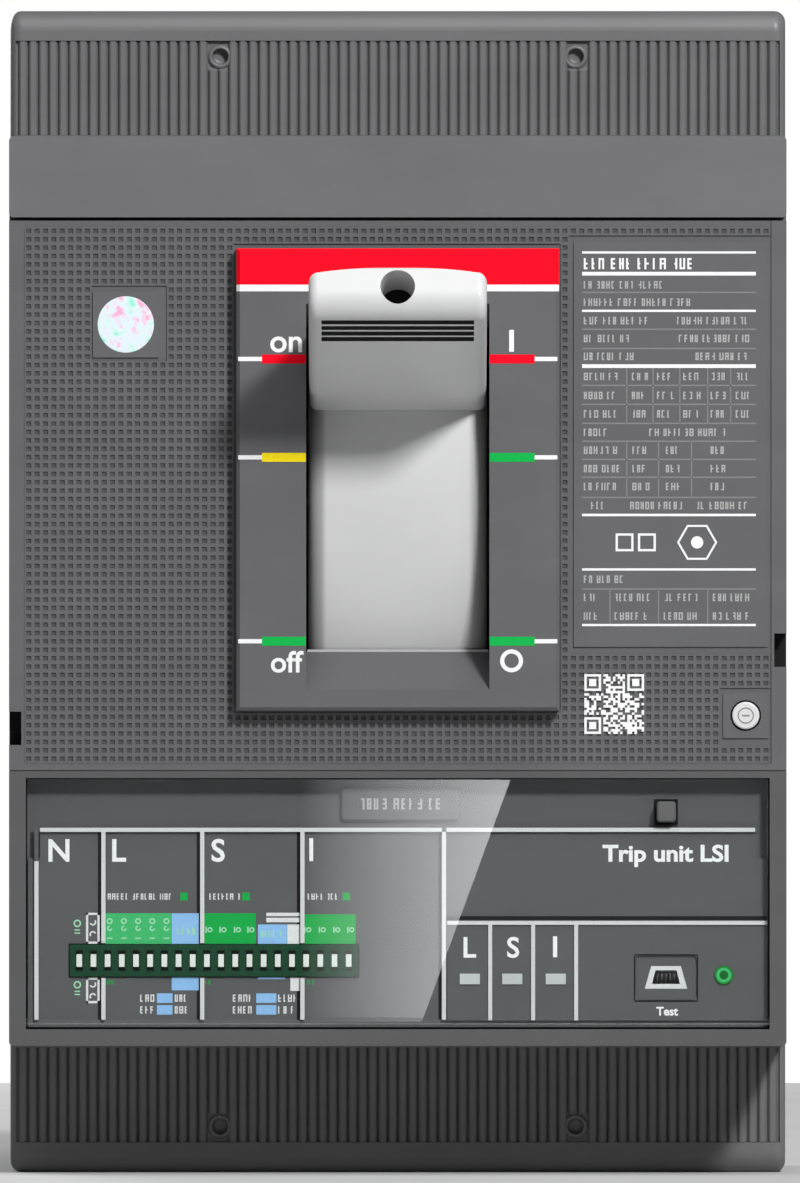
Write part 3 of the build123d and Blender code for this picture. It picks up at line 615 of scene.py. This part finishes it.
plate_lines = Marks("toggle_plate", 0, 1)
for name, z, left_ink, right_ink in (
    ("on", -19.8, red_ink, red_ink),
    ("trip", -37.4, yellow_ink, green_ink),
    ("off", -70.3, green_ink, green_ink),
):
    position_bar(f"{name}_left", BAR_LEFT, -BAR_INNER, z, left_ink)
    position_bar(f"{name}_right", BAR_INNER, BAR_RIGHT, z, right_ink)
    plate_lines.rect(-plate_half + LINE_END, BAR_LEFT, z - LINE_HALF, z + LINE_HALF)
    plate_lines.rect(BAR_RIGHT, plate_half - LINE_END, z - LINE_HALF, z + LINE_HALF)
plate_lines.text("on", -19.9, -18.5, 4.2, bold=0.016, width=5.7)
plate_lines.text("off", -20.0, -75.8, 3.9, bold=0.016)
plate_lines.rect(19.93, 20.78, -18.5, -14.6)  # the letter I
plate_lines.arc(20.36, -73.8, 1.3, 2.05)  # the letter O
plate_lines.make("plate_position_marks", "case", white_ink)

# painted highlight: a light line along the inner edge of the plate's lower slope
slope_highlight = Marks("toggle_plate", 0, -1, face=face_of("toggle_plate") + 10.2 * MM)
slope_highlight.rect(-16.2, 16.2, 10.4, 10.9)
slope_highlight.make("plate_slope_highlight", "case", grey_ink)


# --------------------------------------------------------------- marks of the label
LABEL_LEFT, LABEL_RIGHT = -36.6, -5.5
ROW_HEIGHT = 1.35  # of the small figures


def label_row(marks, z, spans):
    """Words of small figures that fill spans of a row, in mm from the label's left edge."""
    for left, right in spans:
        marks.words(LABEL_LEFT + left, LABEL_LEFT + right, z, ROW_HEIGHT)


lines = Marks("front_panel", 1, 1)
for z, half in (
    (-5.7, 0.2), (-16.15, 0.2), (-52.7, 0.22), (-62.45, 0.2), (-72.4, 0.2), (-9.5, 0.33), (-26.05, 0.33),
):
    lines.rect(LABEL_LEFT, LABEL_RIGHT, z - half, z + half)
lines.words(LABEL_LEFT + 0.3, -16.0, -7.7, 2.0)
lines.make("label_lines", "case", white_ink)

table = Marks("front_panel", 1, 1)
for z, spans in (
    (-11.5, ((0.3, 15.2),)),
    (-14.6, ((0.3, 19.9),)),
    (-17.9, ((0.3, 12.0), (17.0, 30.6))),
    (-21.1, ((0.3, 9.3), (17.3, 30.6))),
    (-24.3, ((0.3, 9.5), (20.3, 30.4))),
    (-37.9, ((0.3, 6.0), (12.0, 26.0))),
    (-51.0, ((1.6, 5.0), (8.6, 18.2), (20.4, 30.6))),
    (-64.2, ((0.3, 8.0),)),
):
    label_row(table, z, spans)
six_columns = ((0.3, 6.9), (8.9, 12.2), (13.4, 16.8), (18.1, 21.5), (23.0, 26.1), (27.5, 30.8))
for heights, spans in (
    ((-27.9, -31.3, -34.6), six_columns),
    ((-41.1, -44.4, -47.6), ((0.3, 6.9), (9.0, 12.4), (15.0, 18.0), (23.0, 26.0))),
    ((-67.45, -70.8), ((0.3, 3.4), (5.8, 12.6), (14.6, 21.3), (23.4, 30.4))),
):
    for z in heights:
        label_row(table, z, spans)
table.make("label_rows", "case", soft_ink)

rules = Marks("front_panel", 1, 1, lift=0.02)
for z in (-12.85, -19.45, -22.9, -29.5, -32.9, -36.3, -39.5, -42.75, -45.95, -49.55, -65.95):
    rules.rect(LABEL_LEFT, LABEL_RIGHT, z - 0.12, z + 0.12)
for low, high, places in (
    (-36.3, -26.05, (-28.6, -23.9, -19.1, -14.1, -10.0)),
    (-49.55, -39.5, (-28.6, -22.9, -17.0)),
    (-72.4, -65.95, (-31.6, -22.9, -14.1)),
):
    for x in places:
        rules.rect(x - 0.1, x + 0.1, low, high)
rules.make("label_rules", "case", dim_ink)

# two square frames and a six-sided one with a dot, in place of the marks on the real label
FRAME_SIDE, FRAME_LINE = 3.2, 0.4
frame_low, frame_high = -59.2, -56.0
figures = Marks("front_panel", 1, 1)
for left in (-30.6, -26.6):
    figures.rect(left, left + FRAME_SIDE, frame_low, frame_low + FRAME_LINE)
    figures.rect(left, left + FRAME_SIDE, frame_high - FRAME_LINE, frame_high)
    for x in (left, left + FRAME_SIDE - FRAME_LINE):
        figures.rect(x, x + FRAME_LINE, frame_low + FRAME_LINE, frame_high - FRAME_LINE)
figures.arc(-16.0, -57.6, 3.2, 3.6, steps=6)
figures.round(-16.0, -57.6, 1.1)
figures.make("label_figures", "case", white_ink)

# square code of random cells, with three plain corner squares
CELLS = 25
CORNER_CELLS = 7
cell = 10.7 / CELLS
code = Marks("front_panel", 1, 1)
code_left, code_top = -36.2, -81.2
far_corner = CELLS - CORNER_CELLS
corners = ((0, 0), (0, far_corner), (far_corner, 0))
for down in range(CELLS):
    for along in range(CELLS):
        in_corner = any(
            a - 1 <= along <= a + CORNER_CELLS and d - 1 <= down <= d + CORNER_CELLS for a, d in corners
        )
        if not in_corner and seeded.random() < 0.5:
            x, z = code_left + along * cell, code_top - down * cell
            code.rect(x, x + cell, z - cell, z)
corner_rects = ((0, 7, -1, 0), (0, 7, -7, -6), (0, 1, -6, -1), (6, 7, -6, -1), (2, 5, -5, -2))  # in cells
for along, down in corners:
    x, z = code_left + along * cell, code_top - down * cell
    for left, right, low, high in corner_rects:
        code.rect(x + left * cell, x + right * cell, z + low * cell, z + high * cell)
code.make("square_code", "case", white_ink)

# round seal, with a turned-down rim
seal = bmesh.new()
seal_face = face_of("front_panel")
loops = []
for radius, lift in ((5.05, 0.0), (5.05, 0.06), (4.95, 0.1), (3.3, 0.11), (1.5, 0.11)):
    rim = [(seal_x + radius * math.cos(turn), seal_z + radius * math.sin(turn)) for turn in turns(72)]
    loops.append([seal.verts.new((x * MM, seal_face - lift * MM, z * MM)) for x, z in rim])
loft(seal, loops)
seal.faces.new(loops[-1])
finish_piece("round_seal", seal, "case", seal_foil)

# ring and bar on the trip button
button_ring = Marks("trip_button", 0, 0, lift=0.05)
button_ring.arc(0, 0, 1.25, 1.45)
button_ring.rect(-0.7, 0.7, -0.12, 0.12)
button_ring.make("trip_button_mark", "button", dim_ink)


# ---------------------------------------------------------- marks of the trip unit
RIDGE = 0.75  # width of the light ridges
ridge_y = face_of("trip_unit_face")
face_y = ridge_y + 0.6 * MM  # the flat lies behind the ridges
status_y = face_of("status_panel") + 0.3 * MM  # so does the status panel's
letters = Marks("trip_unit_face", -1, 1, face=face_y)
for words, x in (("N", 5.5), ("L", 16.1), ("S", 34.0)):
    letters.text(words, x, -6.0, 4.1, bold=0.02)
letters.rect(50.35, 51.05, -6.0, -1.9)  # the letter I
letters.text("Trip unit LSI", 114.3, -6.0, 3.0, bold=0.03, width=22.6)
letters.make("trip_unit_letters", "case", bright_ink)

ridge_lines = Marks("trip_unit_face", -1, 1, face=ridge_y, lift=0.02)
# painted shadows: black strips left of the ridges and above the status panel
edge_shadows = Marks("trip_unit_face", -1, 1, face=face_y, lift=0.02)
ridge_foot, ridge_head = -34.4, -RIDGE
face_left, face_top = corner("trip_unit_face", -1, 1)
dip_left, dip_low = corner("dip_block", -1, -1)
dip_right, dip_high = corner("dip_block", 1, 1)
for offset in (1.1, 13.1, 30.8, 48.75, 74.1):
    spans = [(ridge_foot, ridge_head)]
    if dip_left - 1 < face_left + offset < dip_right + 1:  # the ridge makes way for the switches
        spans = [(ridge_foot, dip_low - face_top - 0.3), (dip_high - face_top + 0.3, ridge_head)]
    is_first = offset < 2
    for low, high in spans:
        ridge_lines.rect(offset, offset + RIDGE, low, -6.0 if is_first and high > -1 else high)
        if not is_first:
            edge_shadows.rect(offset - 0.62, offset, low, high)
for left, right in ((2.1, 74.1), (74.9, 130.2)):
    ridge_lines.rect(left, right, ridge_head, -0.02)
ridge_lines.make("trip_unit_ridge_lines", "case", line_ink)
edge_shadows.rect(75.0, 132.3, -16.55, -15.85)
edge_shadows.make("trip_unit_edge_shadows", "case", black_ink)

status_letters = Marks("status_panel", -1, 1, face=status_y)
for words, x in (("L", 3.9), ("S", 11.8)):
    status_letters.text(words, x, -6.5, 3.75, bold=0.018)
status_letters.rect(18.95, 19.7, -6.5, -2.75)  # the letter I
status_letters.text("Test", 39.4, -16.9, 1.55, bold=0.03)
status_letters.make("status_letters", "case", bright_ink)

status_lines = Marks("status_panel", -1, 1, lift=0.02)
status_lines.rect(0.0, 57.3, -0.7, 0.0)
for offset in (7.35, 15.05, 22.75):
    status_lines.rect(offset, offset + 0.7, -17.8, -0.7)
status_lines.make("status_lines", "case", line_ink)


# -------------------------------------------------------- marks round the coding switches
SWITCHES = 20
SWITCH_PITCH = 2.54
switch_low = -5.7  # lower edge of the switches' block, from its upper left corner's height
lower_rows = (-9.6, -11.7)

green = Marks("dip_block", -1, 1, face=face_y)
green.rect(23.95, 33.3, 0.12, 5.6)
green.rect(41.65, 51.2, 0.12, 5.4)
for left in (19.8, 30.9, 48.9):
    green.rect(left, left + 1.3, 7.9, 9.3)
for x in (6.1, 24.2, 41.9):
    green.words(x, x + 1.9, switch_low - 1.0, 0.9)
green.make("switch_labels_green", "case", green_ink)

pale = Marks("dip_block", -1, 1, face=face_y)
pale.rect(5.95, 18.2, 0.12, 5.6)
pale.make("switch_labels_pale_green", "case", pale_green_ink)

blue = Marks("dip_block", -1, 1, face=face_y)
blue.rect(18.25, 23.1, 0.12, 5.6)
blue.rect(33.7, 38.9, 0.12, 3.6)
blue.rect(18.25, 23.1, switch_low - 2.5, switch_low - 0.15)
blue.rect(33.7, 38.6, switch_low - 0.5, switch_low - 0.15)
for left, right in ((15.6, 18.4), (33.4, 37.0)):
    for z in lower_rows:
        blue.rect(left, right, z - 0.85, z + 0.85)
blue.make("switch_labels_blue", "case", blue_ink)


def switch_frame(marks, left, right, low, high, line=0.4):
    """Outline round a double switch, with two arrows that turn, as open arcs."""
    marks.rect(left, left + line, low, high)
    marks.rect(right - line, right, low, high)
    marks.rect(left, right, low, low + line)
    marks.rect(left, right, high - line, high)
    across, middle = (left + right) / 2, (low + high) / 2
    marks.arc(across, middle + 1.1, 0.35, 0.62, 200, 400, 14)
    marks.arc(across, middle - 1.1, 0.35, 0.62, 20, 220, 14)


white = Marks("dip_block", -1, 1, face=face_y)
white.rect(38.95, 41.2, 0.12, 3.6)
white.rect(35.2, 41.2, 4.0, 4.8)
white.rect(35.2, 41.2, 5.1, 5.7)
white.rect(39.5, 41.2, switch_low - 2.6, switch_low - 0.2)
switch_frame(white, 2.9, 5.35, 0.15, 5.7)
switch_frame(white, 2.9, 5.35, switch_low - 4.8, switch_low - 0.2)
for left, right in ((6.8, 19.4), (25.0, 30.6), (42.6, 48.6)):
    white.words(left, right, 8.6, 1.1)
for z in lower_rows:
    for left, right in ((12.6, 15.4), (18.8, 21.6), (29.2, 33.2), (37.3, 40.8)):
        white.words(left, right, z, 1.3)
white.make("switch_labels_white", "case", white_ink)

small = Marks("dip_block", -1, 1, face=face_y, lift=0.06)
for number in range(5):
    x = 7.15 + number * SWITCH_PITCH
    small.arc(x, 4.2, 0.3, 0.55, steps=12)
    small.arc(x, 2.9, 0.25, 0.5, 90, 360, 10)
    small.rect(x - 0.5, x + 0.5, 1.0, 1.25)
for x in (24.9, 27.4, 30.0, 32.4, 42.6, 45.2, 47.8, 50.3):
    small.rect(x - 0.6, x - 0.35, 2.1, 3.2)
    small.arc(x + 0.2, 2.65, 0.25, 0.48, steps=10)
for z in (2.9, switch_low - 2.4):
    small.arc(1.35, z + 0.9, 0.42, 0.68, steps=18)
    small.rect(0.85, 1.85, z - 0.4, z - 0.18)
    small.rect(0.85, 1.85, z - 0.95, z - 0.73)
small.words(19.0, 22.6, 2.4, 1.2)
small.words(34.2, 38.4, 1.9, 1.1)
small.make("switch_small_marks", "case", mint_ink)

# rim round each coding switch's slot
slot_rims = Marks("dip_block", -1, 0)
lever_low, lever_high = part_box("slider_lever_01")
first = (lever_low.x + lever_high.x) / 2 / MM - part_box("dip_block")[0].x / MM
for number in range(SWITCHES):
    x = first + number * SWITCH_PITCH
    slot_rims.rect(x - 0.83, x - 0.65, -1.98, 1.98)
    slot_rims.rect(x + 0.65, x + 0.83, -1.98, 1.98)
    slot_rims.rect(x - 0.65, x + 0.65, 1.82, 1.98)
    slot_rims.rect(x - 0.65, x + 0.65, -1.98, -1.82)
slot_rims.make("switch_slot_rims", "case", finishes["dip_green"])


# ------------------------------------------ power light, test socket, latch and rating plug
light_ring = Marks("power_light", 0, 0, lift=0.04)
light_ring.arc(0, 0, 1.3, 1.62)
light_ring.make("power_light_ring", "case", glow_ink)
inner_ring = Marks("power_light", 0, 0, lift=0.05)
inner_ring.arc(0, 0, 0.8, 1.3)
inner_ring.make("power_light_inner_ring", "case", pale_green_ink)

# the socket's mouth is a frame, narrower at its top, in a mask that fills the opening round it
WELL = ((-5.5, -4.0), (5.5, -4.0), (5.5, 4.0), (-5.5, 4.0))
MOUTH = ((-3.8, -1.95), (3.8, -1.95), (2.65, 2.1), (-2.65, 2.1))
BORE = ((-2.5, -1.1), (2.5, -1.1), (1.9, 1.35), (-1.9, 1.35))
mouth_y = face_of("status_panel") + 0.75 * MM


def add_frame(marks, outer, inner):
    """Four pieces between an outer and an inner outline of four corners."""
    for here in range(4):
        there = (here + 1) % 4
        marks.prism((outer[here], outer[there], inner[there], inner[here]))


socket_mask = Marks("test_socket", 0, 0, face=mouth_y)
add_frame(socket_mask, WELL, MOUTH)
socket_mask.make("socket_mask", "case", finishes["trip_plastic"])
socket_lip = Marks("test_socket", 0, 0, face=mouth_y, lift=0.05)
add_frame(socket_lip, MOUTH, BORE)
socket_lip.make("socket_lip", "case", finishes["socket_grey"])

latch_low, latch_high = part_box("cover_latch")
latch_wide, latch_tall = (latch_high.x - latch_low.x) / 2 / MM, (latch_high.z - latch_low.z) / 2 / MM
# painted shadow: a black sheet round the raised latch
latch_shade = Marks("cover_latch", 0, 0, face=face_y + 0.6 * MM, lift=0.04)
latch_shade.rect(-latch_wide - 0.4, latch_wide + 0.4, -latch_tall - 0.5, latch_tall + 0.4)
latch_shade.make("latch_shade", "case", black_ink)

# painted shade: a black outline round the socket's well
socket_rim_shade = Marks("test_socket", 0, 0, face=status_y)
socket_rim_shade.rect(-5.65, 5.65, 4.0, 4.22)
socket_rim_shade.rect(-5.65, 5.65, -4.3, -4.05)
socket_rim_shade.rect(-5.75, -5.55, -4.0, 4.0)
socket_rim_shade.rect(5.55, 5.75, -4.0, 4.0)
socket_rim_shade.make("socket_rim_shade", "case", black_ink)

contacts = Marks("test_socket", 0, 0, face=face_of("test_socket") + 1.4 * MM, lift=0.6)
for number in range(5):
    x = -1.55 + number * 0.75
    contacts.rect(x, x + 0.25, -0.7, 0.7)
contacts.make("socket_contacts", "case", finishes["tinned_copper"])

plug_mark = Marks("rating_plug", 0, 0)
plug_mark.words(-7.4, 7.8, 0.0, 2.0)
plug_mark.make("rating_plug_mark", "case", grey_ink)


# -------------------------------------------------- painted shade in the handle's socket and grooves
GROOVES = 4
GROOVE_FROM_TIP, GROOVE_PITCH = 4.8, 2.6
GROOVE_WALL = 0.88  # from a groove's middle to the wall that its shade lies on
GROOVE_HALF = 13.55

socket = next(mount for mount in frame["record"]["mounts"] if mount["name"] == "handle_socket")
outwards = Vector(socket["axis"])
upwards = Vector((0, outwards.z, -outwards.y))
mouth = Vector(socket["pos_m"]) + outwards * (socket["dims"]["length_mm"] / 2 * MM)
# painted shade: a black ring and disc at the bottom of the handle's bore
bore_shade = bmesh.new()
loops = []
for depth, radius in ((8.9, 3.05), (8.95, 1.5)):
    centre = mouth - outwards * depth * MM
    spokes = [Vector((1, 0, 0)) * math.cos(turn) + upwards * math.sin(turn) for turn in turns(48)]
    loops.append([bore_shade.verts.new(centre + spoke * radius * MM) for spoke in spokes])
loft(bore_shade, loops)
bore_shade.faces.new(loops[-1])
finish_piece("handle_socket_shade", bore_shade, "handle", black_ink, smooth=True)

# painted shade: dark strips on one wall of each groove
shades = bmesh.new()
aside = Vector((GROOVE_HALF * MM, 0, 0))
for number in range(GROOVES):
    wall = mouth - outwards * (GROOVE_FROM_TIP + number * GROOVE_PITCH + GROOVE_WALL) * MM
    low, high = wall - upwards * 5.0 * MM, wall - upwards * 3.95 * MM
    strip = (low - aside, low + aside, high + aside, high - aside)
    shades.faces.new([shades.verts.new(point) for point in strip])
finish_piece("handle_groove_shade", shades, "handle", shade_ink)


# ------------------------------------------------------------------ stage and camera
def flat_sheet(name, points):
    """A divided four-sided sheet that belongs to the stage."""
    sheet = bmesh.new()
    sheet.faces.new([sheet.verts.new(point) for point in points])
    bmesh.ops.subdivide_edges(sheet, edges=sheet.edges, cuts=6, use_grid_fill=True)
    data = bpy.data.meshes.new(name)
    sheet.to_mesh(data)
    sheet.free()
    made = bpy.data.objects.new(name, data)
    bpy.context.scene.collection.objects.link(made)
    return made


FLOOR_SIDE, FLOOR_FRONT, FLOOR_BACK = 2, -0.6, 0.9
ground = cad_box[0][2]
floor = flat_sheet(
    "floor",
    (
        (-FLOOR_SIDE, FLOOR_FRONT, ground),
        (FLOOR_SIDE, FLOOR_FRONT, ground),
        (FLOOR_SIDE, FLOOR_BACK, ground),
        (-FLOOR_SIDE, FLOOR_BACK, ground),
    ),
)
floor_material, tree, shader, place = new_material("floor")
paper = noise(tree, place, 0.05, detail=4)
greys = ramp(tree, paper, ((0.3, (0.55, 0.55, 0.55)), (0.7, (0.59, 0.59, 0.59))))
tree.links.new(greys, shader.inputs["Base Color"])
shader.inputs["Roughness"].default_value = 0.9
floor.data.materials.append(floor_material)

# softbox with a slanted edge, far in front of the object, that shows in the clear cover
CARD_REACH = 4.0  # from the cover to the softbox
CARD_SCALE = 1.755  # of the softbox to its reflection
CARD_LEFT, CARD_FADE_END = -0.032, 0.036  # from the cover's middle, on the softbox
SLANT_LOW, SLANT_HIGH = 0.0035, 0.0202  # ends of the slanted edge, in the reflection
CARD_GLOW = 5.5
flap_low, flap_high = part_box("trip_unit_cover")
middle_x = (flap_low.x + flap_high.x) / 2
card_top, card_bottom = (flap_high.z + 0.0005) * CARD_SCALE, (flap_low.z - 0.001) * CARD_SCALE
card_y = flap_low.y - CARD_REACH
card = flat_sheet(
    "card",
    (
        (middle_x + CARD_LEFT, card_y, card_bottom),
        (middle_x + SLANT_LOW * CARD_SCALE, card_y, card_bottom),
        (middle_x + SLANT_HIGH * CARD_SCALE, card_y, card_top),
        (middle_x + CARD_LEFT, card_y, card_top),
    ),
)
card.visible_camera = False
card_material = bpy.data.materials.new("card")
card_material.use_nodes = True
tree = card_material.node_tree
tree.nodes.clear()
place = tree.nodes.new("ShaderNodeTexCoord")
parts = tree.nodes.new("ShaderNodeSeparateXYZ")
fade = tree.nodes.new("ShaderNodeMapRange")
glow = tree.nodes.new("ShaderNodeEmission")
out = tree.nodes.new("ShaderNodeOutputMaterial")
fade.inputs["From Min"].default_value = middle_x + CARD_LEFT
fade.inputs["From Max"].default_value = middle_x + CARD_FADE_END
fade.inputs["To Min"].default_value = 0.0
fade.inputs["To Max"].default_value = CARD_GLOW
tree.links.new(place.outputs["Object"], parts.inputs["Vector"])
tree.links.new(parts.outputs["X"], fade.inputs["Value"])
tree.links.new(fade.outputs["Result"], glow.inputs["Strength"])
tree.links.new(glow.outputs["Emission"], out.inputs["Surface"])
card.data.materials.append(card_material)

# white behind the object, and a dimmer room that lights it
world = bpy.data.worlds.new("studio")
bpy.context.scene.world = world
world.use_nodes = True
tree = world.node_tree
backdrop = tree.nodes["Background"]
room = tree.nodes.new("ShaderNodeBackground")
seen = tree.nodes.new("ShaderNodeLightPath")
mix = tree.nodes.new("ShaderNodeMixShader")
backdrop.inputs["Color"].default_value = (1, 1, 1, 1)
backdrop.inputs["Strength"].default_value = 1.0
room.inputs["Color"].default_value = (0.95, 0.97, 1, 1)
room.inputs["Strength"].default_value = 0.12
tree.links.new(seen.outputs["Is Camera Ray"], mix.inputs["Fac"])
tree.links.new(room.outputs["Background"], mix.inputs[1])
tree.links.new(backdrop.outputs["Background"], mix.inputs[2])
tree.links.new(mix.outputs["Shader"], tree.nodes["World Output"].inputs["Surface"])


def area_light(name, place, target, size, power):
    light = bpy.data.lights.new(name, "AREA")
    light.shape = "RECTANGLE"
    light.size, light.size_y = size
    light.energy = power
    lamp = bpy.data.objects.new(name, light)
    lamp.location = place
    lamp.rotation_euler = (Vector(target) - Vector(place)).to_track_quat("-Z", "Y").to_euler()
    bpy.context.scene.collection.objects.link(lamp)


area_light("key", (0.66, -1.6, 1.06), (0, -0.1, 0.0), (0.24, 0.24), 36.5)
area_light("overhead", (0.1, -0.75, 1.25), (0, -0.1, 0.0), (1.1, 0.8), 8.0)
area_light("rear", (-0.7, 1.5, 0.42), (0, -0.05, 0.0), (0.8, 0.5), 16.0)

LENS, SENSOR = 900.0, 36.0
HEIGHT_SEEN = 0.2118  # by the camera, at the panel's front
CAMERA_X = 0.0004
camera_data = bpy.data.cameras.new("camera")
camera_data.lens = LENS
camera_data.sensor_width = SENSOR
camera_data.clip_start = 0.1
camera_data.clip_end = 40.0
camera = bpy.data.objects.new("camera", camera_data)
camera.location = (CAMERA_X, face_of("front_panel") - HEIGHT_SEEN * LENS / SENSOR, 0.0)
camera.rotation_euler = (math.pi / 2, 0, 0)
bpy.context.scene.collection.objects.link(camera)
bpy.context.scene.camera = camera
bpy.context.scene.view_settings.view_transform = "Standard"
